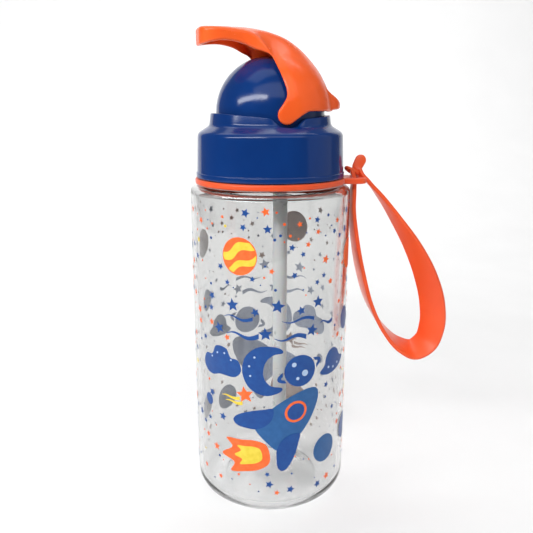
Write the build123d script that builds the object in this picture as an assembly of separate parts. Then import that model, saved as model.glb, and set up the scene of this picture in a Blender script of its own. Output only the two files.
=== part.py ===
"""Kids water bottle: clear body, screw lid with a flip lever over a folding spout, and a wrist strap.

Millimetres, +Z up. The origin is the centre of the base, on the surface that the bottle stands on.
The lever swings in the XZ plane: its hood lies on the +X side of the dome and its arm points to -X.
"""
import os
from math import acos, hypot, radians, sin, tan

from build123d import *

# ---- clear body ----
BODY_R = 34.0
BODY_WALL = 1.8
BASE_CORNER = 8.0
FOOT_R = 21.0
PUSH_UP = 4.5
FLOOR_THICK = 2.6
SHOULDER_Z = 140.3
SHOULDER_ROUND = 3.2
NECK_R = 25.8
NECK_BORE_R = 23.4
NECK_TOP = 157.0

# ---- screw thread: two starts, one full turn takes the lid off ----
LEAD = 6.0
THREAD_STARTS = 2
THREAD_TURNS = 0.75
RIDGE_HEIGHT = 1.2
RIDGE_ROOT = 1.7
RIDGE_CREST = 0.8
NECK_THREAD_Z = 147.0
LID_THREAD_Z = NECK_THREAD_Z + LEAD / THREAD_STARTS / 2

# ---- neck ring, trapped between the shoulder and the lid ----
RING_BOTTOM = 140.6
RING_TOP = 143.0
RING_BORE_R = NECK_R + 0.4
RING_R = 31.8
TAB_END = 40.4
TAB_WIDTH = 15.0
SLOT_NEAR = 34.2
SLOT_FAR = 37.4
SLOT_WIDTH = 9.0
STRAP_TURN = -17.0

# ---- wrist strap ----
BAND_THICK = 1.8
BAND_WIDTH = 11.0
TONGUE_WIDTH = 5.0
TONGUE_THICK = 2.0
TONGUE_BASE_Z = 143.3
TONGUE_TOP_Z = 151.6
TONGUE_X = 37.2
EYELET_LENGTH = 7.0
EYELET_WIDTH = 5.0
EYELET_RAIL = 1.5
EYELET_THICK = 1.4
EYELET_X = 35.7
EYELET_Z = 145.1
EYELET_SLOPE = 16.0

# ---- lid ----
LID_BOTTOM = 143.3
LID_RIM_R = 31.3
SKIRT_R = 30.9
SKIRT_TOP_R = 30.3
LID_BORE_R = NECK_R + 1.9
DECK_BOTTOM = 158.2
DECK_TOP = 160.2
COLLAR_R = 24.6
COLLAR_BORE_R = 22.9
HINGE_Z = 169.3
EAR_DIP = 5.2
GASKET_GAP = 0.05
VENT_X = -12.0
VENT_HOLE_R = 1.5

# ---- dome, centred on the lever's hinge line ----
DOME_R = 22.5
DOME_WALL = 1.8
PIN_R = 2.0
PIN_FIT = 0.06
TROUGH_HALF = 4.3
TROUGH_WALL = 1.2
TROUGH_BACK = -8.6
TROUGH_MOUTH = 5.2

# ---- flip lever ----
HOOD_BORE_R = 24.0
HOOD_R = 25.7
HOOD_FRONT_ANGLE = 101.0
HOOD_BOTTOM = 1.0
EAR_R = 4.6
EAR_INNER = 22.65
EAR_OUTER = 25.4
PIN_INNER = 19.8
ARM_HALF = 10.0
ARM_TIP_X = -30.4
ARM_TIP_ROUND = 6.5
LEVER_WALL = 1.7
CROWN_ROUND = 1.6
THUMB_TAB_HALF = 7.5
THUMB_TAB_X = 17.2
THUMB_TAB_ROUND = 12.0

# ---- spout and straw ----
SPOUT_PIVOT_X = 5.0
SPOUT_PIVOT_UP = 11.0
SPOUT_LENGTH = 18.0
SPOUT_R = 3.4
SPOUT_BORE_R = 1.9
SPOUT_FOLD = -70.0
BOOT_R = 3.4
BOOT_END_GAP = 0.4
STRAW_X = 4.5
STRAW_R = 3.15
STRAW_BORE_R = 2.4
STRAW_BOTTOM = 7.5
SOCKET_R = 4.2
SOCKET_BOTTOM = 146.0


def rounded_outline(corners):
    """Face from corner points (x, y, rounding radius); a radius of 0 leaves the corner sharp."""
    edges = []
    last_end = None
    first_start = None
    for i, (x, y, radius) in enumerate(corners):
        x0, y0, _ = corners[i - 1]
        x1, y1, _ = corners[(i + 1) % len(corners)]
        back = hypot(x0 - x, y0 - y)
        ahead = hypot(x1 - x, y1 - y)
        ux, uy = (x0 - x) / back, (y0 - y) / back
        vx, vy = (x1 - x) / ahead, (y1 - y) / ahead
        half = acos(max(-1.0, min(1.0, ux * vx + uy * vy))) / 2
        reach = radius / tan(half)
        start = (x + ux * reach, y + uy * reach)
        end = (x + vx * reach, y + vy * reach)
        if last_end is not None:
            edges.append(Edge.make_line(last_end, start))
        if first_start is None:
            first_start = start
        if radius > 0:
            bx, by = ux + vx, uy + vy
            scale = (radius / sin(half) - radius) / hypot(bx, by)
            middle = (x + bx * scale, y + by * scale)
            edges.append(Edge.make_three_point_arc(start, middle, end))
        last_end = end
    edges.append(Edge.make_line(last_end, first_start))
    return make_face(Wire(edges))


def turned(corners):
    """Solid of revolution about Z from a profile of (radius, height, rounding) corners."""
    return revolve(Plane.XZ * rounded_outline(corners), Axis.Z)


def slab(corners, half_width):
    """Profile of (x, z, rounding) corners, extruded the same distance either side of the XZ plane."""
    return extrude(Plane.XZ * rounded_outline(corners), half_width, both=True)


def tube(outer_r, bore_r, bottom, top, x=0.0):
    """Upright tube between two heights."""
    blank = Cylinder(outer_r, top - bottom) - Cylinder(bore_r, top - bottom)
    return Pos(x, 0, (bottom + top) / 2) * blank


def thread(root_r, outward, start_z):
    """Helical ridges, one per start. outward is +1 on the neck and -1 inside the lid."""
    sink = 0.3 * outward
    ridges = []
    for start in range(THREAD_STARTS):
        path = Helix(LEAD, LEAD * THREAD_TURNS, root_r)
        section = Polygon(
            (-sink, -RIDGE_ROOT / 2),
            (-sink, RIDGE_ROOT / 2),
            (RIDGE_HEIGHT * outward, RIDGE_CREST / 2),
            (RIDGE_HEIGHT * outward, -RIDGE_CREST / 2),
            align=None,
        )
        at_start = Plane(origin=path @ 0, x_dir=(1, 0, 0), z_dir=(0, -1, 0))
        ridge = sweep(at_start * section, path, is_frenet=True)
        ridges.append(Pos(0, 0, start_z) * Rot(0, 0, 360 / THREAD_STARTS * start) * ridge)
    return ridges


def bottle_body():
    """Clear body in one moulding: pushed-up base on a ring foot, straight side, shoulder and threaded neck."""
    inner_r = BODY_R - BODY_WALL
    inner_floor = PUSH_UP + FLOOR_THICK
    roof = SHOULDER_Z - 2.0
    shell = turned([
        (0, PUSH_UP, 0),
        (FOOT_R - 8, PUSH_UP, 6),
        (FOOT_R, 0, 1.5),
        (BODY_R, 0, BASE_CORNER),
        (BODY_R, SHOULDER_Z, SHOULDER_ROUND),
        (NECK_R, SHOULDER_Z, 0.5),
        (NECK_R, NECK_TOP, 0.6),
        (NECK_BORE_R, NECK_TOP, 0.4),
        (NECK_BORE_R, roof, 1.5),
        (inner_r, roof, 2.0),
        (inner_r, FLOOR_THICK, BASE_CORNER - BODY_WALL),
        (FOOT_R + 1, FLOOR_THICK, 3.0),
        (FOOT_R - 7, inner_floor, 6),
        (0, inner_floor, 0),
    ])
    for ridge in thread(NECK_R, 1, NECK_THREAD_Z):
        shell += ridge
    return shell


def neck_ring():
    """Flat silicone ring with a slotted tab for the strap."""
    ring = turned([
        (RING_BORE_R, RING_BOTTOM, 0),
        (RING_R, RING_BOTTOM, 0.7),
        (RING_R, RING_TOP, 0.7),
        (RING_BORE_R, RING_TOP, 0),
    ])
    thick = RING_TOP - RING_BOTTOM
    middle = (RING_TOP + RING_BOTTOM) / 2
    tab_blank = RectangleRounded(TAB_END - RING_BORE_R - 2, TAB_WIDTH, 3.4)
    tab_x = (TAB_END + RING_BORE_R + 2) / 2
    tab = Pos(tab_x, 0, middle) * extrude(tab_blank, thick / 2, both=True)
    tab = fillet(tab.edges().group_by(Axis.Z)[0] + tab.edges().group_by(Axis.Z)[-1], 0.6)
    slot_blank = RectangleRounded(SLOT_FAR - SLOT_NEAR, SLOT_WIDTH, 1.2)
    slot = Pos((SLOT_NEAR + SLOT_FAR) / 2, 0, middle) * extrude(slot_blank, thick, both=True)
    return Rot(0, 0, STRAP_TURN) * (ring + tab - slot)


def strap_loop():
    """Wide silicone band that hangs from the tab in a drop-shaped loop."""
    centre_line = Spline(
        (35.6, 135.6),
        (35.9, 124.0),
        (40.4, 101.0),
        (52.4, 73.0),
        (67.7, 61.3),
        (79.0, 79.0),
        (74.2, 100.8),
        (57.2, 125.2),
        (42.6, 139.4),
    )
    band = extrude(Plane.XZ * trace(centre_line, BAND_THICK), BAND_WIDTH / 2, both=True)
    return Rot(0, 0, STRAP_TURN) * band


def strap_knot():
    """Strap's two ends where they lock above the tab: an eyelet that lies towards the lid, and a tongue."""
    tongue_height = TONGUE_TOP_Z - TONGUE_BASE_Z
    tongue_blank = SlotOverall(tongue_height, TONGUE_WIDTH, rotation=90)
    tongue = extrude(Plane.XZ * tongue_blank, TONGUE_THICK / 2, both=True)
    tongue = Pos(TONGUE_X, 0, (TONGUE_TOP_Z + TONGUE_BASE_Z) / 2) * tongue
    outer = SlotOverall(EYELET_LENGTH, EYELET_WIDTH)
    inner = SlotOverall(EYELET_LENGTH - 2 * EYELET_RAIL, EYELET_WIDTH - 2 * EYELET_RAIL)
    rails = extrude(outer - inner, EYELET_THICK / 2, both=True)
    eyelet = Pos(EYELET_X, 0, EYELET_Z) * Rot(0, EYELET_SLOPE, 0) * rails
    return Rot(0, 0, STRAP_TURN) * (tongue + eyelet)


def lid_cap():
    """Screw lid: skirt with a lower rim, sloped shoulder, deck, and a collar that dips for the lever's ears."""
    cap = turned([
        (LID_BORE_R, LID_BOTTOM, 0.3),
        (LID_RIM_R, LID_BOTTOM, 0.4),
        (LID_RIM_R, LID_BOTTOM + 2.0, 0.3),
        (SKIRT_R, LID_BOTTOM + 2.3, 0.3),
        (SKIRT_TOP_R, HINGE_Z - 6.9, 1.6),
        (COLLAR_R + 0.9, HINGE_Z - 4.9, 2.2),
        (COLLAR_R, HINGE_Z, 0.4),
        (COLLAR_BORE_R, HINGE_Z, 0.4),
        (COLLAR_BORE_R, DECK_TOP, 0),
        (0, DECK_TOP, 0),
        (0, DECK_BOTTOM, 0),
        (LID_BORE_R, DECK_BOTTOM, 0.5),
    ])
    dip = slab(
        [
            (-14, HINGE_Z + 3, 0),
            (-14, HINGE_Z, 0),
            (-7.6, HINGE_Z, 3.0),
            (-4.6, HINGE_Z - EAR_DIP, 3.4),
            (4.6, HINGE_Z - EAR_DIP, 3.4),
            (7.6, HINGE_Z, 3.0),
            (14, HINGE_Z, 0),
            (14, HINGE_Z + 3, 0),
        ],
        COLLAR_R + 2,
    )
    cap -= dip
    for ridge in thread(LID_BORE_R, -1, LID_THREAD_Z):
        cap += ridge
    cap -= Pos(STRAW_X, 0, DECK_TOP) * Cylinder(BOOT_R + 0.2, 8)
    cap -= Pos(VENT_X, 0, DECK_TOP) * Cylinder(VENT_HOLE_R, 8)
    return cap


def dome_cover():
    """Half-ball cover inside the collar, with hinge holes and a walled trough that the spout folds into."""
    outer = Sphere(DOME_R)
    outer += Pos(0, 0, -(HINGE_Z - DECK_TOP) / 2) * Cylinder(DOME_R, HINGE_Z - DECK_TOP)
    inner_r = DOME_R - DOME_WALL
    inner = Sphere(inner_r) + Pos(0, 0, -10) * Cylinder(inner_r, 20)
    below_deck = Pos(0, 0, DECK_TOP - HINGE_Z - 20) * Box(80, 80, 40)
    solid_dome = outer - below_deck
    shell = solid_dome - inner
    channel_length = DOME_R - TROUGH_BACK
    channel_x = (DOME_R + TROUGH_BACK) / 2
    channel_half = TROUGH_HALF + TROUGH_WALL
    walls = Pos(channel_x, 0, 0) * Box(channel_length, 2 * channel_half, 80)
    walls &= solid_dome
    hollow = Pos(channel_x + TROUGH_WALL, 0, 0) * Box(channel_length, 2 * TROUGH_HALF, 80)
    roof = Pos(TROUGH_MOUTH - 25, 0, 0) * Box(50, 2 * TROUGH_HALF, 80) & (solid_dome - Sphere(inner_r))
    roof &= Pos(0, 0, 20) * Box(80, 80, 40)
    dome = shell + walls - hollow + roof
    foot = tube(COLLAR_BORE_R - 0.05, DOME_R - 0.5, DECK_TOP - HINGE_Z, DECK_TOP - HINGE_Z + 2)
    dome += foot
    pin_holes = Rot(90, 0, 0) * Cylinder(PIN_R + PIN_FIT, 2 * DOME_R + 2)
    pin_holes -= Box(50, 2 * (PIN_INNER - 1.0), 50)
    bosses = Rot(90, 0, 0) * Cylinder(PIN_R + 2, 2 * DOME_R)
    bosses = bosses & outer
    bosses -= Box(50, 2 * (PIN_INNER - 2.0), 50)
    dome = dome + bosses - pin_holes
    return Pos(0, 0, HINGE_Z) * dome


def on_crown(edge):
    """True for the long outer edges of the lever's arm, either side of its ridge."""
    middle = edge.center()
    at_side = abs(abs(middle.Y) - ARM_HALF) < 0.1
    outside_hood = hypot(middle.X, middle.Z) > HOOD_R + 0.5
    return at_side and outside_hood and (middle.Z > 28.5 or middle.X > 2)


def arm_plan(inset):
    """Upright block with the arm's outline from above, drawn in by the inset; its tip is rounded."""
    length = 60.0
    outline = RectangleRounded(length, 2 * (ARM_HALF - inset), ARM_TIP_ROUND - inset)
    return Pos(ARM_TIP_X + inset + length / 2, 0, 0) * extrude(outline, 60.0)


def flip_lever():
    """Hood over the dome with a channel-shaped arm, a thumb tab, two ears and their hinge pins."""
    ridge = [
        (29.0, 0.0, 0),
        (25.8, 9.0, 9),
        (19.6, 19.0, 14),
        (10.0, 27.6, 22),
        (-3.0, 32.8, 40),
        (ARM_TIP_X + 0.8, 33.4, 4.0),
        (ARM_TIP_X, 29.6, 0.8),
        (ARM_TIP_X + 0.4, 25.5, 0.6),
        (-19.0, 29.0, 16),
        (-5.0, 22.0, 0),
        (0.0, 0.0, 0),
    ]
    front_x = -60 * sin(radians(HOOD_FRONT_ANGLE - 90))
    wedge = slab([(60, 0, 0), (60, 60, 0), (front_x, 60, 0), (0, 0, 0)], 40)
    below_hood = Pos(0, 0, HOOD_BOTTOM - 20) * Box(100, 100, 40)
    hood = Sphere(HOOD_R) & (wedge - below_hood)
    arm = slab(ridge, ARM_HALF) - below_hood
    arm = fillet(arm.edges().filter_by(on_crown), CROWN_ROUND)
    arm &= arm_plan(0)
    lever = hood + arm
    channel = slab(
        [
            (-12.0, 10.0, 0),
            (ARM_TIP_X, 20.0, 0),
            (ARM_TIP_X, 33.2 - LEVER_WALL, 2.4),
            (-3.4, 32.6 - LEVER_WALL, 38),
            (8.6, 27.4 - LEVER_WALL, 20),
            (17.6, 19.0 - LEVER_WALL, 0),
            (0.0, 10.0, 0),
        ],
        ARM_HALF - LEVER_WALL,
    )
    lever -= channel & arm_plan(LEVER_WALL)
    lever -= Sphere(HOOD_BORE_R)
    thumb_tab = slab(
        [
            (24.0, HOOD_BOTTOM, 0),
            (24.0, 9.5, 0),
            (26.0, 8.0, 3),
            (31.2, 3.4, 0.9),
            (29.5, HOOD_BOTTOM, 0.9),
        ],
        THUMB_TAB_HALF,
    )
    thumb_tab -= Sphere(HOOD_BORE_R)
    thumb_tab &= Pos(THUMB_TAB_X, 0, 4) * Cylinder(THUMB_TAB_ROUND, 20)
    lever += thumb_tab
    for side in (-1, 1):
        ear_length = EAR_OUTER - EAR_INNER
        ear = Pos(0, side * (EAR_OUTER + EAR_INNER) / 2, 0) * Rot(90, 0, 0) * Cylinder(EAR_R, ear_length)
        pin_length = EAR_INNER - PIN_INNER + 0.5
        pin_y = side * (PIN_INNER + pin_length / 2)
        pin = Pos(0, pin_y, 0) * Rot(90, 0, 0) * Cylinder(PIN_R, pin_length)
        lever = lever + ear + pin
    return Pos(0, 0, HINGE_Z) * lever


def spout_base():
    """Silicone boot: a nipple through the deck and a gooseneck that ends behind the spout's fold."""
    pivot_z = HINGE_Z + SPOUT_PIVOT_UP
    end_x = SPOUT_PIVOT_X - SPOUT_R - BOOT_END_GAP
    path = Spline(
        (STRAW_X, DECK_BOTTOM),
        (STRAW_X - 0.9, DECK_TOP + 3.0),
        (-2.4, pivot_z - 7.0),
        (end_x, pivot_z),
        tangents=[(0, 1), (1, 0)],
    )
    path = Plane.XZ * path
    start = Plane(origin=path @ 0, z_dir=path % 0)
    boot = sweep(start * Circle(BOOT_R - 0.05), path)
    bore = sweep(start * Circle(SPOUT_BORE_R), path)
    flange = Pos(STRAW_X - 0.1, 0, DECK_TOP + 0.6) * Cylinder(BOOT_R + 0.7, 1.2)
    return boot + flange - bore


def spout_tip():
    """Silicone mouthpiece, folded down into the trough; it turns about a knuckle at its root."""
    barrel = Pos(SPOUT_LENGTH / 2, 0, 0) * Rot(0, 90, 0) * Cylinder(SPOUT_R - 0.4, SPOUT_LENGTH)
    lip = Pos(SPOUT_LENGTH - 2.0, 0, 0) * Rot(0, 90, 0) * Cylinder(SPOUT_R, 4.0)
    lip = fillet(lip.edges(), 0.9)
    bore = Pos(SPOUT_LENGTH / 2, 0, 0) * Rot(0, 90, 0) * Cylinder(SPOUT_BORE_R, SPOUT_LENGTH + 20)
    tip = Sphere(SPOUT_R) + barrel + lip - bore
    return Pos(SPOUT_PIVOT_X, 0, HINGE_Z + SPOUT_PIVOT_UP) * Rot(0, -SPOUT_FOLD, 0) * tip


def lid_gasket():
    """Flat silicone washer that seals the top of the neck."""
    return tube(NECK_R + 0.6, NECK_BORE_R, NECK_TOP + GASKET_GAP, DECK_BOTTOM - GASKET_GAP)


def straw_socket():
    """Tube under the deck that the straw pushes into."""
    socket = tube(SOCKET_R, STRAW_R, SOCKET_BOTTOM, DECK_BOTTOM, STRAW_X)
    return socket


def straw():
    """Straight drinking straw that ends just above the floor of the body."""
    return tube(STRAW_R, STRAW_BORE_R, STRAW_BOTTOM + PUSH_UP, DECK_BOTTOM - 1.0, STRAW_X)


def vent_valve():
    """Umbrella valve: a thin disc under the deck on a stem with a small head above it."""
    disc = Pos(VENT_X, 0, DECK_BOTTOM - 0.4) * Cylinder(3.4, 0.8)
    stem = Pos(VENT_X, 0, (DECK_BOTTOM + DECK_TOP) / 2) * Cylinder(VENT_HOLE_R, DECK_TOP - DECK_BOTTOM)
    head = Pos(VENT_X, 0, DECK_TOP + 0.5) * Cylinder(2.2, 1.0)
    return disc + stem + head


PIECES = (
    bottle_body,
    neck_ring,
    strap_loop,
    strap_knot,
    lid_cap,
    lid_gasket,
    vent_valve,
    dome_cover,
    flip_lever,
    spout_base,
    spout_tip,
    straw_socket,
    straw,
)


def main():
    os.makedirs("parts", exist_ok=True)
    for piece in PIECES:
        export_step(piece(), f"parts/{piece.__name__}.step")


main()
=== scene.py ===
"""Looks of the kids water bottle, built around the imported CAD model.

Sizes are millimetres unless a comment says otherwise; meshes are scaled to metres as they are made.
The lever swings in the XZ plane. The print faces the camera, both 17 degrees round from -Y, and the strap
hangs at right angles to that, on the camera's right.
"""
import math
import random

import bmesh
import bpy
import numpy as np
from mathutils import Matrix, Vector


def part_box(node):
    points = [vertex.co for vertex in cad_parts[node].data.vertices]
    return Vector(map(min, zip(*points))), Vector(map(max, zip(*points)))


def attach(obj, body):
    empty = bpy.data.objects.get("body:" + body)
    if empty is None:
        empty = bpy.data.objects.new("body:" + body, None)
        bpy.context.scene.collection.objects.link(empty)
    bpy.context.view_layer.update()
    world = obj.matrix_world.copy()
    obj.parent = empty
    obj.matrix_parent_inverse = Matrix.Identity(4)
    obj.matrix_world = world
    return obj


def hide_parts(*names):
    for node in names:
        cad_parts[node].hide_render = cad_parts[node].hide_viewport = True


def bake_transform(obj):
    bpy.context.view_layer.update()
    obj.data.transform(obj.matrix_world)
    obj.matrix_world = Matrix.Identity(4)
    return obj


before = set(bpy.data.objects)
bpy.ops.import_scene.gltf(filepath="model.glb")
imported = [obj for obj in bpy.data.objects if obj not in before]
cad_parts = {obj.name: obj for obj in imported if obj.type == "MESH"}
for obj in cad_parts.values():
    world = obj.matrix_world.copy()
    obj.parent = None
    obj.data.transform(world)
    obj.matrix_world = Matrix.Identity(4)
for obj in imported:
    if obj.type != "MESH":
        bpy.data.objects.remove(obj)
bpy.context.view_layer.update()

import openvdb
from mathutils import Quaternion, Vector

MM = 0.001
FRONT_TURN = math.radians(-17.0)
LATHE_SEGMENTS = 256


def turned(x, y):
    """A level point, turned with the print and the strap."""
    c, s = math.cos(FRONT_TURN), math.sin(FRONT_TURN)
    return x * c - y * s, x * s + y * c


# ---------------------------------------------------------------- frame sizes
def node_box(node):
    """Lowest and highest corner of a CAD node, in millimetres."""
    low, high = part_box(node)
    return [v / MM for v in low], [v / MM for v in high]


BODY_HIGH = node_box("bottle_body")[1]
LID_LOW, LID_HIGH = node_box("lid_cap")

BODY_R = BODY_HIGH[0]
NECK_TOP = BODY_HIGH[2]
LID_BOTTOM = LID_LOW[2]
LID_RIM_R = LID_HIGH[0]
# the collar's rim reaches up to the lever's hinge line
HINGE_Z = LID_HIGH[2]


# ---------------------------------------------------------------- mesh helpers
def mesh_object(name, verts, faces, sharp_degrees=35.0):
    """Smooth-shaded mesh object from vertices in millimetres."""
    mesh = bpy.data.meshes.new(name)
    mesh.from_pydata([tuple(float(c) * MM for c in v) for v in verts], [], [tuple(f) for f in faces])
    outward = bmesh.new()
    outward.from_mesh(mesh)
    bmesh.ops.recalc_face_normals(outward, faces=outward.faces)
    outward.to_mesh(mesh)
    outward.free()
    mesh.shade_smooth()
    mesh.set_sharp_from_angle(angle=math.radians(sharp_degrees))
    piece = bpy.data.objects.new(name, mesh)
    bpy.context.scene.collection.objects.link(piece)
    return piece


def add_piece(piece, body, slot, *materials):
    """Gives a piece its materials and the body it moves with; slot is not used."""
    for material in materials:
        piece.data.materials.append(material)
    if body:
        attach(piece, body)


def rounded(corners, steps):
    """Open polyline through (x, y, radius) corners, each corner turned into an arc of short runs."""
    line = []
    last = len(corners) - 1
    for i, (x, y, radius) in enumerate(corners):
        if radius <= 0 or i in (0, last):
            line.append((x, y))
            continue
        x0, y0, _ = corners[i - 1]
        x1, y1, _ = corners[i + 1]
        back, ahead = math.hypot(x0 - x, y0 - y), math.hypot(x1 - x, y1 - y)
        ux, uy = (x0 - x) / back, (y0 - y) / back
        vx, vy = (x1 - x) / ahead, (y1 - y) / ahead
        half = math.acos(max(-1.0, min(1.0, ux * vx + uy * vy))) / 2
        reach = radius / math.tan(half)
        bx, by = ux + vx, uy + vy
        bisector = math.hypot(bx, by)
        centre = (x + bx / bisector * radius / math.sin(half), y + by / bisector * radius / math.sin(half))
        start = math.atan2(y + uy * reach - centre[1], x + ux * reach - centre[0])
        end = math.atan2(y + vy * reach - centre[1], x + vx * reach - centre[0])
        sweep = (end - start + math.pi) % (2 * math.pi) - math.pi
        for k in range(steps + 1):
            angle = start + sweep * k / steps
            line.append((centre[0] + radius * math.cos(angle), centre[1] + radius * math.sin(angle)))
    return line


def lathe(profile_at, closed=False):
    """Vertices and faces of a turned shape.

    profile_at(angle) gives its (radius, height) points, the same number of them at every angle.
    """
    segments = LATHE_SEGMENTS
    on_axis = 1e-6
    verts = []
    faces = []
    rows = []
    for r, z in profile_at(0.0):
        if r < on_axis:
            verts.append((0.0, 0.0, z))
            rows.append([len(verts) - 1] * segments)
        else:
            rows.append([len(verts) + k for k in range(segments)])
            verts.extend([None] * segments)
    for k in range(segments):
        angle = 2 * math.pi * k / segments
        for row, (r, z) in zip(rows, profile_at(angle)):
            if r >= on_axis:
                verts[row[k]] = (r * math.cos(angle), r * math.sin(angle), z)
    count = len(rows)
    for i in range(count if closed else count - 1):
        lower, upper = rows[i], rows[(i + 1) % count]
        for k in range(segments):
            n = (k + 1) % segments
            corner = [lower[k], lower[n], upper[n], upper[k]]
            face = [v for j, v in enumerate(corner) if v != corner[j - 1]]
            if len(face) > 2:
                faces.append(face)
    return verts, faces


def smooth_curve(knots, values):
    """Function through the given values at rising knots, with no kinks (cubic Hermite)."""
    x = np.asarray(knots, float)
    y = np.asarray(values, float)
    slope = np.gradient(y, x, axis=0)

    def at(t):
        t = np.clip(np.asarray(t, float), x[0], x[-1])
        i = np.clip(np.searchsorted(x, t) - 1, 0, len(x) - 2)
        width = x[i + 1] - x[i]
        u = (t - x[i]) / width
        if y.ndim > 1:
            u = u[..., None]
            width = width[..., None]
        h = 2 * u**3 - 3 * u**2 + 1
        return (
            h * y[i]
            + (1 - h) * y[i + 1]
            + (u**3 - 2 * u**2 + u) * width * slope[i]
            + (u**3 - u**2) * width * slope[i + 1]
        )

    return at


def soft_min(a, b, k):
    """Smooth minimum: blends two distance fields with a fillet of about k."""
    h = np.clip(k - np.abs(a - b), 0, None) / k
    return np.minimum(a, b) - h * h * k / 4


def soft_max(a, b, k):
    """Smooth maximum, the counterpart of soft_min."""
    return -soft_min(-a, -b, k)


def field_mesh(field, low, high, step):
    """Closed mesh of the surface where field(x, y, z) is zero; the field is negative inside.

    The grid's points are then moved down the field's slope, which brings them onto the surface itself.
    """
    axes = [np.arange(a, b + step, step, dtype=np.float32) for a, b in zip(low, high)]
    x, y, z = np.meshgrid(*axes, indexing="ij", sparse=True)
    values = np.ascontiguousarray(field(x, y, z), dtype=np.float32)
    grid = openvdb.FloatGrid(float(values.max()))
    grid.copyFromArray(values)
    points, quads = grid.convertToQuads(0.0)
    points = points.astype(float) * step + np.array(low)
    nudge = 0.02
    passes = 3
    least_steepness = 0.25
    longest_move = 0.3 * step
    for _ in range(passes):
        here = field(*points.T)
        rises = [field(*(points + nudge * axis).T) - field(*(points - nudge * axis).T) for axis in np.eye(3)]
        slope = np.stack(rises, axis=1) / (2 * nudge)
        steep = np.maximum((slope**2).sum(axis=1), least_steepness)
        move = -slope * (here / steep)[:, None]
        length = np.linalg.norm(move, axis=1, keepdims=True)
        points += move * np.minimum(1.0, longest_move / np.maximum(length, 1e-9))
    return points, quads


# ---------------------------------------------------------------- materials
# noise seldom leaves this part of its range, so colours and gloss are spread over it
NOISE_LOW, NOISE_HIGH = 0.3, 0.7


def new_material(name):
    """New node material, with its nodes, its links and its main shader."""
    material = bpy.data.materials.new(name)
    material.use_nodes = True
    nodes = material.node_tree.nodes
    return material, nodes, material.node_tree.links, nodes["Principled BSDF"]


def noise(nodes, links, size_mm, detail=3.0, stretch=(1.0, 1.0, 1.0)):
    """Noise over the object's own coordinates, with features about size_mm across."""
    coordinates = nodes.new("ShaderNodeTexCoord")
    mapping = nodes.new("ShaderNodeMapping")
    mapping.inputs["Scale"].default_value = stretch
    texture = nodes.new("ShaderNodeTexNoise")
    texture.inputs["Scale"].default_value = 1.0 / (size_mm * MM)
    texture.inputs["Detail"].default_value = detail
    links.new(coordinates.outputs["Object"], mapping.inputs["Vector"])
    links.new(mapping.outputs["Vector"], texture.inputs["Vector"])
    return texture.outputs["Fac"]


def ramp(nodes, links, source, stops):
    """Colours a value, by (place, colour) stops."""
    node = nodes.new("ShaderNodeValToRGB")
    elements = node.color_ramp.elements
    while len(elements) < len(stops):
        elements.new(0.5)
    for element, (place, colour) in zip(elements, stops):
        element.position = place
        element.color = (*colour, 1.0)
    links.new(source, node.inputs["Fac"])
    return node.outputs["Color"]


def ranged(nodes, links, source, low, high):
    """Spreads a noise between two values."""
    node = nodes.new("ShaderNodeMapRange")
    node.inputs["From Min"].default_value = NOISE_LOW
    node.inputs["From Max"].default_value = NOISE_HIGH
    node.inputs["To Min"].default_value = low
    node.inputs["To Max"].default_value = high
    links.new(source, node.inputs["Value"])
    return node.outputs["Result"]


def bumped(nodes, links, shader, layers):
    """Chains bump layers of (noise output, strength, depth in mm) onto the shader's normal."""
    previous = None
    for source, strength, depth in layers:
        bump = nodes.new("ShaderNodeBump")
        bump.inputs["Strength"].default_value = strength
        bump.inputs["Distance"].default_value = depth * MM
        links.new(source, bump.inputs["Height"])
        if previous:
            links.new(previous, bump.inputs["Normal"])
        previous = bump.outputs["Normal"]
    links.new(previous, shader.inputs["Normal"])


def moulded(name, dark, light, roughness, grain=0.35, grain_depth=0.01, wave_depth=0.03, **sockets):
    """Moulded plastic or silicone: faint flow mottling, uneven gloss, fine grain and slow sink waves.

    grain, grain_depth and wave_depth are in millimetres, and roughness is its lowest and highest value.
    """
    flow_size, gloss_size, wave_size = 16.0, 5.0, 9.0
    material, nodes, links, shader = new_material(name)
    flow = noise(nodes, links, flow_size, stretch=(1.0, 1.0, 0.45))
    colour = ramp(nodes, links, flow, ((NOISE_LOW, dark), (NOISE_HIGH, light)))
    links.new(colour, shader.inputs["Base Color"])
    gloss = noise(nodes, links, gloss_size)
    links.new(ranged(nodes, links, gloss, *roughness), shader.inputs["Roughness"])
    bumped(nodes, links, shader, (
        (noise(nodes, links, grain, detail=2.0), 0.25, grain_depth),
        (noise(nodes, links, wave_size, detail=1.0), 0.3, wave_depth),
    ))
    for socket, value in sockets.items():
        shader.inputs[socket.replace("_", " ")].default_value = value
    return material


def lets_light_through(nodes, links, shader, tint):
    """Lets shadow rays pass, so what is inside or behind clear plastic is lit."""
    path = nodes.new("ShaderNodeLightPath")
    pass_through = nodes.new("ShaderNodeBsdfTransparent")
    pass_through.inputs["Color"].default_value = (*tint, 1.0)
    mix = nodes.new("ShaderNodeMixShader")
    links.new(path.outputs["Is Shadow Ray"], mix.inputs["Fac"])
    links.new(shader.outputs["BSDF"], mix.inputs[1])
    links.new(pass_through.outputs["BSDF"], mix.inputs[2])
    links.new(mix.outputs["Shader"], nodes["Material Output"].inputs["Surface"])


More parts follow.
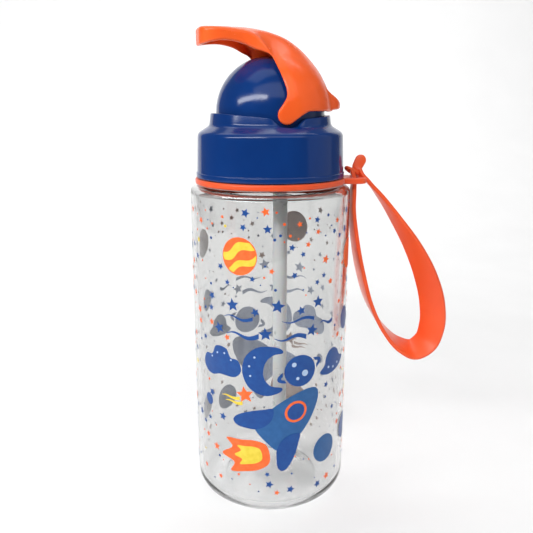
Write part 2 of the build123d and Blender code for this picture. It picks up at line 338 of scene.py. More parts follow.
def clear_plastic():
    """Clear moulded plastic: faint grey tint, slow thickness waves and a little surface haze."""
    tint_dark, tint_light = (0.80, 0.803, 0.800), (0.83, 0.832, 0.828)
    shadow_tint = (0.94, 0.94, 0.945)
    flow_size, haze_size, wave_size, wave_depth = 22.0, 3.0, 14.0, 0.08
    material, nodes, links, shader = new_material("clear_plastic")
    flow = noise(nodes, links, flow_size, stretch=(1.0, 1.0, 0.3))
    tint = ramp(nodes, links, flow, ((NOISE_LOW, tint_dark), (NOISE_HIGH, tint_light)))
    links.new(tint, shader.inputs["Base Color"])
    haze = noise(nodes, links, haze_size)
    links.new(ranged(nodes, links, haze, 0.0, 0.05), shader.inputs["Roughness"])
    shader.inputs["IOR"].default_value = 1.54
    shader.inputs["Transmission Weight"].default_value = 1.0
    bumped(nodes, links, shader, (
        (noise(nodes, links, wave_size, detail=1.0, stretch=(1.0, 1.0, 0.35)), 0.25, wave_depth),
    ))
    lets_light_through(nodes, links, shader, shadow_tint)
    return material


def translucent(name, dark, light, roughness, transmission, ior=1.42):
    """Milky plastic or silicone that lets some light through."""
    material = moulded(name, dark, light, roughness, grain_depth=0.006)
    shader = material.node_tree.nodes["Principled BSDF"]
    shader.inputs["Transmission Weight"].default_value = transmission
    shader.inputs["IOR"].default_value = ior
    shader.inputs["Subsurface Weight"].default_value = 0.25
    shader.inputs["Subsurface Scale"].default_value = 0.003
    return material


def ink(name, dark, light):
    """Screen-printed ink: slightly mottled, satin, with a fine grain."""
    mottle_size, gloss_size, grain_size, grain_depth = 2.2, 0.8, 0.25, 0.01
    material, nodes, links, shader = new_material(name)
    mottle = noise(nodes, links, mottle_size, detail=4.0)
    links.new(ramp(nodes, links, mottle, ((0.35, dark), (0.65, light))), shader.inputs["Base Color"])
    links.new(ranged(nodes, links, noise(nodes, links, gloss_size), 0.28, 0.42), shader.inputs["Roughness"])
    bumped(nodes, links, shader, ((noise(nodes, links, grain_size, detail=2.0), 0.2, grain_depth),))
    shader.inputs["Specular IOR Level"].default_value = 0.4
    return material


CLEAR = clear_plastic()
BLUE = moulded(
    "blue_plastic", (0.0005, 0.027, 0.150), (0.001, 0.034, 0.180), (0.12, 0.19), Specular_IOR_Level=0.36,
)
ORANGE = moulded(
    "orange_plastic", (0.92, 0.110, 0.016), (1.0, 0.135, 0.022), (0.2, 0.28),
    Subsurface_Weight=0.1, Subsurface_Scale=0.002, Specular_IOR_Level=0.3,
)
ORANGE_SOFT = moulded(
    "orange_silicone", (0.82, 0.084, 0.014), (0.90, 0.106, 0.020), (0.34, 0.44), grain=0.2,
    Subsurface_Weight=0.2, Subsurface_Scale=0.002, Sheen_Weight=0.35, Sheen_Roughness=0.3,
)
SILICONE = translucent("clear_silicone", (0.80, 0.82, 0.82), (0.88, 0.89, 0.88), (0.3, 0.4), 0.35)
STRAW_MILK = translucent(
    "straw_plastic", (0.78, 0.775, 0.775), (0.81, 0.805, 0.805), (0.26, 0.34), 0.25, ior=1.45,
)
INK_BLUE = ink("ink_blue", (0.003, 0.058, 0.27), (0.005, 0.074, 0.31))
INK_SKY = ink("ink_sky", (0.014, 0.102, 0.30), (0.020, 0.120, 0.34))
INK_ORANGE = ink("ink_orange", (0.90, 0.13, 0.02), (1.0, 0.17, 0.035))
INK_YELLOW = ink("ink_yellow", (0.80, 0.60, 0.04), (0.88, 0.68, 0.07))
INK_PALE = ink("ink_pale", (0.42, 0.56, 0.78), (0.52, 0.66, 0.86))
# backs of the inks, seen through the clear wall: the white underbase coloured in dark greys, which is
# painted shade; the warm grey lies behind the orange and yellow inks
UNDERBASE_PAINTED_SHADE = ink("underbase_painted_shade", (0.24, 0.28, 0.37), (0.29, 0.33, 0.43))
WARM_UNDERBASE_PAINTED_SHADE = ink("warm_underbase_painted_shade", (0.33, 0.24, 0.21), (0.40, 0.30, 0.26))


# ---------------------------------------------------------------- threads
THREAD = {"starts": 2, "turns": 0.75, "lead": 6.0, "height": 1.2}
NECK_THREAD = {**THREAD, "z": 147.0}
# the lid's ridges run half way between the neck's
LID_THREAD = {**THREAD, "z": NECK_THREAD["z"] + THREAD["lead"] / THREAD["starts"] / 2}
# how long a ridge takes to rise and to fall at its two ends, in turns
RUN_OUT = 0.04
# half of a ridge's width at its root, and the width of each of its flanks
RIDGE_HALF = 0.85
RIDGE_FLANK = 0.45


def thread_rise(angle, z, thread):
    """Height of the helical ridge above its root at an angle and height, 0 between the ridges."""
    rise = 0.0
    for start in range(thread["starts"]):
        turn = (angle / (2 * math.pi) - start / thread["starts"]) % 1.0
        if turn > thread["turns"]:
            continue
        run_out = min(1.0, turn / RUN_OUT, (thread["turns"] - turn) / RUN_OUT)
        off = abs(z - thread["z"] - thread["lead"] * turn)
        rise = max(rise, run_out * thread["height"] * min(1.0, max(0.0, (RIDGE_HALF - off) / RIDGE_FLANK)))
    return rise


# ---------------------------------------------------------------- clear body
BODY_WALL = 1.8
FLOOR_THICK = 2.6
PUSH_UP = 4.5
FOOT_R = 21
BASE_CORNER = 8
SHOULDER_Z = 140.3
SHOULDER_THICK = 2
SHOULDER_ROUND = 3.2
NECK_R = 25.8
NECK_BORE_R = 23.4


def bottle_shell():
    """Body in one moulding: pushed-up base on a ring foot, straight side, shoulder, threaded neck."""
    thread_low, thread_high, rows = 143.5, 155.0, 46
    inner_r = BODY_R - BODY_WALL
    inner_shoulder = SHOULDER_Z - SHOULDER_THICK
    inner_top = PUSH_UP + FLOOR_THICK
    before = rounded([
        (0, PUSH_UP, 0), (13, PUSH_UP, 6), (FOOT_R, 0, 1.5), (BODY_R, 0, BASE_CORNER),
        (BODY_R, SHOULDER_Z, SHOULDER_ROUND), (NECK_R, SHOULDER_Z, 0.5), (NECK_R, thread_low, 0),
    ], 10)
    after = rounded([
        (NECK_R, thread_high, 0), (NECK_R, NECK_TOP, 0.6), (NECK_BORE_R, NECK_TOP, 0.4),
        (NECK_BORE_R, inner_shoulder, 1.5), (inner_r, inner_shoulder, 2),
        (inner_r, FLOOR_THICK, BASE_CORNER - BODY_WALL), (22, FLOOR_THICK, 3), (14, inner_top, 6),
        (0, inner_top, 0),
    ], 10)
    heights = [thread_low + (thread_high - thread_low) * (i + 1) / (rows + 1) for i in range(rows)]

    def profile(angle):
        threaded = [(NECK_R + thread_rise(angle, z, NECK_THREAD), z) for z in heights]
        return before + threaded + after

    piece = mesh_object("bottle_shell", *lathe(profile))
    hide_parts("bottle_body")
    add_piece(piece, "bottle", "clear_plastic", CLEAR)


# ---------------------------------------------------------------- lid
LID_BORE_R = 27.7
DECK_LOW, DECK_HIGH = 158.2, 160.2
SKIRT_R = 30.9
SKIRT_TOP_R = 30.3
SKIRT_TOP = HINGE_Z - 8.0
COLLAR_FOOT = HINGE_Z - 5.0
COLLAR_R = 24.8
COLLAR_BORE_R = 22.9
EAR_DIP = 5.2
DIP_HALF_FLOOR = 2.8
DIP_SLOPE = 5.0
RIM_FALL_FRONT = 0.016
RIM_FALL_SIDES = 0.09


def rim_height(angle):
    """Top of the collar: it falls gently to both sides, with a smooth dip under each of the lever's ears."""
    x = COLLAR_R * math.cos(angle)
    t = min(1.0, max(0.0, (abs(x) - DIP_HALF_FLOOR) / DIP_SLOPE))
    gentle = RIM_FALL_FRONT * (COLLAR_R + x) + RIM_FALL_SIDES * (COLLAR_R - abs(x))
    # the gentle fall gives about a tenth of the radius at the dips, so the dip itself is that much less
    dip = (EAR_DIP - 0.1 * COLLAR_R) * (1 - t * t * (3 - 2 * t))
    return HINGE_Z - gentle - dip


def lid_shell():
    """Screw lid, turned, with a dipping collar rim, a sloped shoulder, a lower rim and a thread inside."""
    inner_rows = 44
    thread_top = DECK_LOW - 0.5
    thread_span = DECK_LOW - LID_BOTTOM - 0.8

    def profile(angle):
        outer_top = rim_height(angle)
        outer = rounded([
            (LID_BORE_R, LID_BOTTOM, 0), (LID_RIM_R, LID_BOTTOM, 0.5), (LID_RIM_R, LID_BOTTOM + 2.0, 0.4),
            (SKIRT_R, LID_BOTTOM + 2.3, 0.3), (SKIRT_TOP_R, SKIRT_TOP, 2.6),
            (COLLAR_R + 0.6, COLLAR_FOOT, 2.2), (COLLAR_R, outer_top, 0.35),
            (COLLAR_BORE_R, outer_top, 0.35), (COLLAR_BORE_R, DECK_HIGH, 0), (0, DECK_HIGH, 0),
        ], 7)
        inner = [(0, DECK_LOW), (LID_BORE_R - 0.4, DECK_LOW)]
        for i in range(inner_rows):
            z = thread_top - thread_span * i / (inner_rows - 1)
            inner.append((LID_BORE_R - thread_rise(angle, z, LID_THREAD), z))
        return outer + inner

    piece = mesh_object("lid_shell", *lathe(profile, closed=True), sharp_degrees=50)
    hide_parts("lid_cap")
    add_piece(piece, "lid", "blue_plastic", BLUE)


# ---------------------------------------------------------------- flip lever
# all in hinge coordinates: x forwards, y sideways, z up from the hinge line
HOOD_R = 25.5
HOOD_BORE_R = 23.9
HOOD_BOTTOM = 0.8
HOOD_CENTRE = (-0.4, 0.3)
BORDER_X = 1.3
BORDER_LEAN = 0.23
BEVEL_WIDTH = 3.3
BEVEL_SLOPE = 0.33
BEVEL_START = 4.0
BEVEL_FADE = 5.0
EAR_LOW = (-0.7, -0.6, 3.7)
EAR_HIGH = (3.9, 3.9, 4.9)
EAR_OUTER = 25.3
ARM_TIP_X = -29.8
ARM_TIP_ROUND = 7.5
ARM_FROM = math.radians(40)
CHANNEL_SETBACK = 2.0
WALL = 1.8
TAB_TOP_AT = (25.0, 6.5)
TAB_TOP_NORMAL = (0.45, 0.893)
TAB_UNDER_AT = 20
TAB_UNDER_RISE = 0.08
TAB_CENTRE_X = 17.4
TAB_R = 12.8
PIN_R = 2.0
PIN_OUTER = 24.2
PIN_INNER = 19.9

# the curves below go by the angle in degrees round the hinge line: 0 in front, 90 straight up, 180 behind
# radius of the lever's ridge from the hinge line
RIDGE = smooth_curve(
    [0, 30, 42, 52, 60, 75, 90, 105, 120, 132, 142, 160],
    [22.5, 23.2, 24.3, 25.8, 27.2, 29.4, 31.3, 33.9, 38, 43.8, 51, 70],
)
# how far the ridge's crown falls away at CROWN_SIDE to the side
CROWN_SIDE = 10
CROWN = smooth_curve([0, 40, 60, 75, 93, 101, 110, 120, 160], [2.4, 2.6, 4.5, 6, 6.4, 5.0, 2.8, 1.8, 1.3])
# radius of the arm's lower edge, how far that edge's lean brings it nearer, and the arm's half width
LOWER_EDGE_LEAN = 0.8
LOWER_EDGE = smooth_curve(
    [0, 90, 100, 106, 110.6, 117.3, 124, 133.7, 139.8, 160],
    [18, 20, 22.4, 24.2, 25.6, 29.2, 32.6, 36.9, 39.4, 49],
)
HALF_WIDTH = smooth_curve(
    [0, 88, 95, 101, 107, 114, 125, 140, 160],
    [34, 30, 20.5, 15, 11.8, 10.3, 9.9, 9.3, 9],
)


def tapered_round(x, z, low, high):
    """Distance to the outline round two circles, each (x, z, radius), joined by a taper."""
    x0, z0, r0 = low
    x1, z1, r1 = high
    along = ((x - x0) * (x1 - x0) + (z - z0) * (z1 - z0)) / ((x1 - x0) ** 2 + (z1 - z0) ** 2)
    t = np.clip(along, 0.0, 1.0)
    return np.hypot(x - x0 - t * (x1 - x0), z - z0 - t * (z1 - z0)) - r0 - t * (r1 - r0)


def hood_field(x, z, side, shell):
    """Outside of the hood and its ears; shell is the distance from the hood's centre."""
    # the hood's border lies in a plane that leans back; each ear is a tapered lobe of the same thin shell
    behind_border = (x - BORDER_X + BORDER_LEAN * z) / math.hypot(1, BORDER_LEAN)
    ear = tapered_round(x, z, EAR_LOW, EAR_HIGH)
    hood_plan = soft_max(-behind_border, HOOD_BOTTOM - z, 0.8)
    plan = soft_min(hood_plan, ear, 1.6)

    # a narrow bevel runs along the border and fades out just above the ears
    fade = np.clip((z - BEVEL_START) / BEVEL_FADE, 0.0, 1.0)
    bevel = shell - HOOD_R + BEVEL_SLOPE * fade * (BEVEL_WIDTH - behind_border)
    skin = soft_max(shell - HOOD_R, bevel, 0.2)
    skin = soft_max(skin, side - EAR_OUTER, 0.8)
    return soft_max(skin, plan, 0.8)


def tab_field(x, y, z, shell):
    """Thumb tab: a round plate on the front of the hood, kept out of the hood's inside."""
    top = (x - TAB_TOP_AT[0]) * TAB_TOP_NORMAL[0] + (z - TAB_TOP_AT[1]) * TAB_TOP_NORMAL[1]
    under = HOOD_BOTTOM + 0.1 + TAB_UNDER_RISE * (x - TAB_UNDER_AT) - z
    plan = np.hypot(x - TAB_CENTRE_X, y) - TAB_R
    return soft_max(soft_max(top, under, 1.0), soft_max(plan, HOOD_BORE_R + 0.2 - shell, 0.8), 1.0)


def lever_field(x, y, z):
    """Distance-like field of the lever: hood, channel arm, thumb tab, ears and pins."""
    rho = np.hypot(x, z)
    phi = np.degrees(np.arctan2(z, x))
    phi = np.where(phi < -90, phi + 360, phi)
    side = np.abs(y)
    hood_x, hood_z = HOOD_CENTRE
    shell = np.sqrt((x - hood_x) ** 2 + y**2 + (z - hood_z) ** 2)

    ridge_r = RIDGE(phi)
    lean = 1 / np.sqrt(1 + (np.degrees(RIDGE(phi + 0.5) - RIDGE(phi - 0.5)) / ridge_r) ** 2)
    above = (rho - ridge_r + CROWN(phi) * (side / CROWN_SIDE) ** 2) * lean
    footprint = soft_max(side - HALF_WIDTH(phi), ARM_TIP_X - x, ARM_TIP_ROUND)
    below = (LOWER_EDGE(phi) - rho) * LOWER_EDGE_LEAN
    in_front = x * math.sin(ARM_FROM) - z * math.cos(ARM_FROM)
    arm = soft_max(soft_max(above, footprint, 1.4), below, 1.0)
    arm = soft_max(arm, in_front, 2.0)
    outer = soft_min(hood_field(x, z, side, shell), arm, 3.4)

    # the hood and the arm are hollow from below
    channel = soft_max(above + WALL, footprint + WALL, 1.6)
    channel = soft_max(channel, in_front + CHANNEL_SETBACK, 1.5)
    cavity = soft_min(shell - HOOD_BORE_R, channel, 3.0)
    lever = soft_max(outer, -cavity, 0.7)

    lever = soft_min(lever, tab_field(x, y, z, shell), 1.4)
    pin = soft_max(soft_max(rho - PIN_R, side - PIN_OUTER, 0.3), PIN_INNER - side, 0.4)
    return soft_min(lever, pin, 0.3)


def flip_lever():
    """Lever in one moulding, meshed from its field within a box that holds all of it."""
    step = 0.38
    points, quads = field_mesh(lever_field, (-33, -27.5, -6), (33, 27.5, 35.5), step)
    points[:, 2] += HINGE_Z
    piece = mesh_object("lever_shell", points, quads.tolist(), sharp_degrees=60)
    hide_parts("flip_lever")
    add_piece(piece, "lever", "orange_plastic", ORANGE)


# ---------------------------------------------------------------- strap
BAND_THICK = 1.7
TONGUE_TIP_R = 2.3


def strap_frame(radius, side, z):
    """Point at a radius from the bottle's axis and a sideways offset, turned to the strap's direction."""
    return (*turned(radius, side), z)


# the band's route from the tab's slot, down, round and back up to the tongue:
# (radius, sideways, height, width, twist in degrees)
BAND_ROUTE = (
    (34.6, 0.3, 146.2, 4.6, 0),
    (35.7, 0.0, 142.2, 5.6, 0),
    (35.6, 0.0, 137.5, 7.0, -4),
    (35.4, 0.0, 130.0, 8.2, -6),
    (36.7, 0.0, 118.0, 9.6, -8),
    (39.9, 0.0, 101.5, 11.0, -9),
    (44.9, 0.0, 85.5, 11.8, -5),
    (51.6, 0.0, 73.8, 12.2, 3),
    (58.9, 0.0, 66.5, 12.2, 13),
    (65.8, 0.0, 64.0, 12.2, 25),
    (71.0, 0.0, 67.6, 12.2, 38),
    (73.5, 0.0, 75.5, 12.2, 49),
    (73.0, 0.0, 86.0, 12.0, 53),
    (69.0, 0.0, 99.5, 11.2, 49),
    (62.9, 0.0, 112.0, 9.8, 40),
    (55.0, 0.0, 124.2, 7.8, 27),
    (47.4, 0.0, 134.6, 6.2, 12),
    (41.6, 0.0, 141.2, 5.2, 4),
    (38.4, 0.2, 144.0, 4.2, 30),
    (37.0, 0.5, 146.2, 4.2, 72),
    (38.0, 0.8, 149.0, 4.7, 80),
    (39.6, 1.0, 151.9, 4.6, 80),
)


def strap_section(width, thick, corner=0.55, steps=3):
    """Rounded rectangle, width along the first axis."""
    half_w, half_t = width / 2, thick / 2
    corner = min(corner, half_t * 0.95, half_w * 0.95)
    ring = []
    for cx, cy, start in (
        (half_w - corner, half_t - corner, 0),
        (-half_w + corner, half_t - corner, 90),
        (-half_w + corner, -half_t + corner, 180),
        (half_w - corner, -half_t + corner, 270),
    ):
        for k in range(steps + 1):
            angle = math.radians(start + 90 * k / steps)
            ring.append((cx + corner * math.cos(angle), cy + corner * math.sin(angle)))
    return ring


def section_faces(count, size, closed):
    """Quads between neighbouring sections of a band, with a cap on each end unless it closes on itself."""
    faces = []
    for i in range(count if closed else count - 1):
        j = (i + 1) % count
        for k in range(size):
            n = (k + 1) % size
            faces.append((i * size + k, i * size + n, j * size + n, j * size + k))
    if not closed:
        faces.append(tuple(range(size)))
        faces.append(tuple((count - 1) * size + k for k in range(size)))
    return faces


def open_band(points, width_axes, widths, thick):
    """Band of rounded-rectangle sections along a route, with capped ends."""
    tangents = np.gradient(points, axis=0)
    tangents /= np.linalg.norm(tangents, axis=1, keepdims=True)
    verts = []
    for point, tangent, wide, width in zip(points, tangents, width_axes, widths):
        wide = wide - tangent * np.dot(wide, tangent)
        wide /= np.linalg.norm(wide)
        across = np.cross(tangent, wide)
        verts.extend(point + wide * a + across * b for a, b in strap_section(width, thick))
    return verts, section_faces(len(points), len(verts) // len(points), closed=False)


def closed_band(points, wide, width, thick):
    """Endless band of rounded-rectangle sections through a loop of points."""
    points = np.asarray(points, float)
    tangents = np.roll(points, -1, axis=0) - np.roll(points, 1, axis=0)
    tangents /= np.linalg.norm(tangents, axis=1, keepdims=True)
    verts = []
    ring = strap_section(width, thick, corner=0.5)
    for point, tangent in zip(points, tangents):
        across = np.cross(tangent, wide)
        verts.extend(point + wide * a + across * b for a, b in ring)
    return verts, section_faces(len(points), len(ring), closed=True)


def eyelet_band():
    """The eyelet's oval rail, which lies aslant above the tab."""
    long_half, short_half = 2.9, 2.3
    rail_height, rail_thick = 1.3, 1.6
    turns = np.linspace(0, 2 * math.pi, 49)[:-1]
    centre = np.array([35.0, 0.6, 145.2])
    long_axis = np.array([-0.86, 0.15, 0.42])
    short_axis = np.array([0.25, 0.75, -0.42])
    loop = [
        centre + long_half * math.cos(a) * long_axis + short_half * math.sin(a) * short_axis
        for a in turns
    ]
    flat = np.cross(long_axis, short_axis)
    flat /= np.linalg.norm(flat)
    return closed_band(loop, flat, rail_height, rail_thick)


def strap():
    """One silicone moulding: band with a tongue at one end and an eyelet at the other."""
    tip_steps, route_steps, narrowest_tip = 9, 256, 0.15
    route = np.array(BAND_ROUTE)
    gaps = np.linalg.norm(np.diff(route[:, :3], axis=0), axis=1)
    along = np.concatenate([[0], np.cumsum(gaps)])
    curve = smooth_curve(along, route)
    quarter_turn = np.linspace(0, math.pi / 2, tip_steps)
    tip_start = along[-1] - TONGUE_TIP_R
    tip_places = tip_start + TONGUE_TIP_R * np.sin(quarter_turn)
    stations = curve(np.concatenate([np.linspace(0, tip_start, route_steps)[:-1], tip_places]))
    local = stations[:, :3]
    tangent = np.gradient(local, axis=0)
    tangent /= np.linalg.norm(tangent, axis=1, keepdims=True)
    inward = np.stack([-tangent[:, 2], np.zeros(len(local)), tangent[:, 0]], axis=1)
    twist = np.radians(stations[:, 4])[:, None]
    wide = np.cos(twist) * np.array([0.0, 1.0, 0.0]) + np.sin(twist) * inward
    widths = stations[:, 3].copy()
    widths[-tip_steps:] *= np.maximum(np.cos(quarter_turn), narrowest_tip)
    band, band_faces = open_band(local, wide, widths, BAND_THICK)
    eyelet, eyelet_faces = eyelet_band()

    verts = [strap_frame(*v) for v in band + eyelet]
    faces = band_faces + [tuple(len(band) + i for i in f) for f in eyelet_faces]
    piece = mesh_object("wrist_strap", verts, faces, sharp_degrees=50)
    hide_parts("strap_loop", "strap_knot")
    add_piece(piece, None, "orange_silicone", ORANGE_SOFT)
    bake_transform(piece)


# ---------------------------------------------------------------- print on the body
# places on the print are (distance round the body from its front, height)
PRINT_GAP = 0.02
INK_LAYER = 0.05
LAYER_RISE = 1.3
STRIP_WIDTH = 1.5
FRONT_ANGLE = -math.pi / 2 + FRONT_TURN
STAR_WAIST = 0.46


def smooth_outline(points, steps=6):
    """Closed curve through the given points (Catmull-Rom)."""
    line = []
    count = len(points)
    for i in range(count):
        p0, p1, p2, p3 = (np.array(points[(i + k - 1) % count], float) for k in range(4))
        for k in range(steps):
            t = k / steps
            line.append(tuple(
                0.5 * (2 * p1 + (p2 - p0) * t + (2 * p0 - 5 * p1 + 4 * p2 - p3) * t**2
                       + (3 * p1 - p0 - 3 * p2 + p3) * t**3)
            ))
    return line


def ellipse(x, y, rx, ry, turn=0.0, steps=36):
    """Ellipse about a centre, turned in degrees."""
    c, s = math.cos(math.radians(turn)), math.sin(math.radians(turn))
    ring = []
    for k in range(steps):
        a = 2 * math.pi * k / steps
        u, v = rx * math.cos(a), ry * math.sin(a)
        ring.append((x + u * c - v * s, y + u * s + v * c))
    return ring


def star(x, y, size, turn):
    """Five-pointed star."""
    ring = []
    for k in range(10):
        a = math.radians(90 + turn + 36 * k)
        r = size if k % 2 == 0 else size * STAR_WAIST
        ring.append((x + r * math.cos(a), y + r * math.sin(a)))
    return ring


def moved(points, x, y, scale=1.0, turn=0.0):
    """Outline scaled, turned in degrees about the origin and then shifted."""
    c, s = math.cos(math.radians(turn)), math.sin(math.radians(turn))
    return [(x + scale * (px * c - py * s), y + scale * (px * s + py * c)) for px, py in points]


class PrintLayer:
    """Ink shapes of one colour, wrapped round the body as thin closed slabs.

    A layer lies further out the higher its level is, so it covers what lies below.
    """

    def __init__(self, name, colour, back, level):
        self.name = name
        self.colour = colour
        # back is the material of the print's back: its white underbase in a grey of painted shade
        self.back = back
        self.inner = BODY_R + PRINT_GAP + level * INK_LAYER * LAYER_RISE
        self.outer = self.inner + INK_LAYER
        self.verts = []
        self.faces = []
        self.backs = []

    def add(self, outline):
        """Adds one shape, cut into upright strips so that it can follow the body's curve."""
        flat = bmesh.new()
        flat.faces.new([flat.verts.new((x, y, 0.0)) for x, y in outline])
        low = min(x for x, _ in outline)
        high = max(x for x, _ in outline)
        cut = math.ceil(low / STRIP_WIDTH) * STRIP_WIDTH
        while cut < high:
            bmesh.ops.bisect_plane(
                flat, geom=flat.verts[:] + flat.edges[:] + flat.faces[:],
                plane_co=(cut, 0, 0), plane_no=(1, 0, 0), dist=1e-5,
            )
            cut += STRIP_WIDTH
        bmesh.ops.triangulate(flat, faces=flat.faces[:])
        flat.verts.index_update()
        first = len(self.verts)
        count = len(flat.verts)
        for radius in (self.outer, self.inner):
            for v in flat.verts:
                angle = FRONT_ANGLE + v.co.x / BODY_R
                self.verts.append((radius * math.cos(angle), radius * math.sin(angle), v.co.y))
        for face in flat.faces:
            ids = [first + v.index for v in face.verts]
            self.faces.append(tuple(ids))
            self.faces.append(tuple(i + count for i in reversed(ids)))
            self.backs.append(len(self.faces) - 1)
        for edge in flat.edges:
            if len(edge.link_faces) == 1:
                a, b = (first + v.index for v in edge.verts)
                self.faces.append((a, b, b + count, a + count))
        flat.free()

    def both_sides(self, outline):
        """Adds a shape to the front and again half way round."""
        half_round = math.pi * BODY_R
        self.add(outline)
        self.add([(x + half_round, y) for x, y in outline])

    def build(self):
        """Makes the layer's piece; the second material is the print's back seen through the clear wall, its
        white underbase coloured grey as painted shade.
        """
        piece = mesh_object(self.name, self.verts, self.faces, sharp_degrees=30)
        add_piece(piece, "bottle", "clear_plastic", self.colour, self.back)
        # the back faces take the grey of painted shade that stands for the lit-from-behind underbase
        for i in self.backs:
            piece.data.polygons[i].material_index = 1


# outlines of the large shapes, each about its own origin
ROCKET_HALF = (
    (16.4, 0.0), (15.4, 2.3), (12.0, 4.9), (6.0, 7.3), (0.0, 8.6), (-6.0, 8.8), (-10.6, 8.2), (-14.2, 6.9),
    (-14.9, 0.0),
)
ROCKET_HULL = ROCKET_HALF + tuple((x, -y) for x, y in ROCKET_HALF[-2:0:-1])
ROCKET_FIN = (
    (-2.4, 8.4), (-5.6, 11.0), (-10.4, 13.9), (-16.0, 15.9), (-19.2, 15.4), (-19.4, 12.6), (-17.0, 9.4),
    (-14.0, 6.4), (-10.0, 4.9), (-5.6, 5.4),
)
FLAME = (
    (0.8, 4.0), (-4.0, 7.0), (-10.0, 7.6), (-16.8, 8.2), (-14.6, 4.2), (-20.6, 0.6), (-15.0, -3.0),
    (-17.4, -7.2), (-10.4, -7.2), (-4.0, -6.6), (0.8, -3.6),
)
CLOUD = (
    (-8.4, -4.2), (-10.2, -0.6), (-8.0, 3.4), (-4.2, 3.8), (-1.4, 7.8), (3.8, 7.4), (5.8, 3.6), (9.2, 2.6),
    (10.2, -1.8), (7.0, -4.8), (0.0, -4.4), (-4.6, -5.4),
)
CRESCENT = (
    (2.2, 10.6), (-3.8, 9.4), (-8.2, 4.4), (-8.6, -2.6), (-5.0, -8.4), (1.4, -10.6), (7.0, -8.8),
    (8.0, -6.6), (3.2, -6.0), (0.0, -2.2), (0.2, 3.4), (3.0, 7.0), (6.6, 8.2), (6.0, 9.8),
)
SAUCER = (
    (-11.4, -1.6), (-7.4, 1.2), (-5.6, 5.4), (-2.2, 8.4), (2.2, 8.4), (5.6, 5.4), (7.4, 1.2), (11.4, -1.6),
    (8.6, -4.4), (3.4, -5.8), (-3.4, -5.8), (-8.6, -4.4),
)


def swoosh(x, y, length, rise, width, steps=22):
    """Tapered comet tail that curls along a wave."""
    half_waves, calming, tip_share = 2.1, 0.3, 0.12
    upper, lower = [], []
    for k in range(steps + 1):
        t = k / steps
        mid = y + rise * math.sin(half_waves * math.pi * t) * (1 - calming * t)
        half = width * (tip_share + (1 - tip_share) * t) / 2
        upper.append((x + length * t, mid + half))
        lower.append((x + length * t, mid - half))
    return upper + lower[::-1]


def wavy_band(size, middle, height, wave, phase, turn, steps=30):
    """Wavy stripe across a disc of the given radius, cut off at the disc's edge."""
    inset, half_waves, thinnest = 0.999, 1.3, 0.05
    upper, lower = [], []
    for k in range(steps + 1):
        u = size * (2 * k / steps - 1) * inset
        edge = math.sqrt(size * size - u * u)
        mid = middle + wave * math.sin(math.pi * u / size * half_waves + phase)
        top, bottom = min(edge, mid + height / 2), max(-edge, mid - height / 2)
        if top > bottom + thinnest:
            upper.append((u, top))
            lower.append((u, bottom))
    return moved(upper + lower[::-1], 0, 0, turn=turn)


def arc(rx, ry, start, sweep, steps=24):
    """Part of an ellipse's edge about the origin, from a start through a sweep, both in degrees."""
    angles = [math.radians(start + sweep * k / steps) for k in range(steps + 1)]
    return [(rx * math.cos(a), ry * math.sin(a)) for a in angles]


def ringed_planet(layer, x, y, size, turn):
    """Planet whose ring stands clear of the disc on both sides."""
    clearance = 1.07
    layer.both_sides(ellipse(x, y, size, size))
    ring = arc(size * 1.5, size * 0.5, -62, 124) + arc(size * 1.26, size * 0.26, 58, -116)
    outside = [p for p in ring if math.hypot(*p) > size * clearance]
    for side in (0, 180):
        layer.both_sides(moved(moved(outside, 0, 0, turn=side), x, y, turn=turn))


DOT_SIZES = (0.3, 0.35, 0.45, 0.6)
STAR_SIZES = (1.3, 1.5, 1.9)
SPECK_SEED = 41
SPECK_COUNT = 420
SPECK_TRIES = 12000
SPECK_LOW, SPECK_HIGH = 11.0, 134.0
SPECK_GAP = 1.4
BLUE_BELOW, ORANGE_BELOW = 0.45, 0.96


def scatter(avoid):
    """Places for the small stars and dots, clear of each other and of the large shapes.

    avoid holds ovals as (x, y, half width, half height), which are kept clear on both halves of the body.
    Each place is (x, y, size, turn, pick), with pick between 0 and 1 to choose its colour by.
    """
    rng = random.Random(SPECK_SEED)
    round_body = 2 * math.pi * BODY_R
    places = []
    tries = 0
    while len(places) < SPECK_COUNT and tries < SPECK_TRIES:
        tries += 1
        x = rng.uniform(-round_body / 2, round_body / 2)
        y = rng.uniform(SPECK_LOW, SPECK_HIGH)
        size = rng.choice(DOT_SIZES + STAR_SIZES)
        local = (x + round_body / 4) % (round_body / 2) - round_body / 4
        if any(math.hypot((local - ax) / rx, (y - ay) / ry) < 1 for ax, ay, rx, ry in avoid):
            continue
        gap = SPECK_GAP + size
        if any(math.hypot(x - px, y - py) < gap + ps for px, py, ps in places):
            continue
        places.append((x, y, size))
    return [(x, y, size, rng.uniform(0, 72), rng.random()) for x, y, size in places]


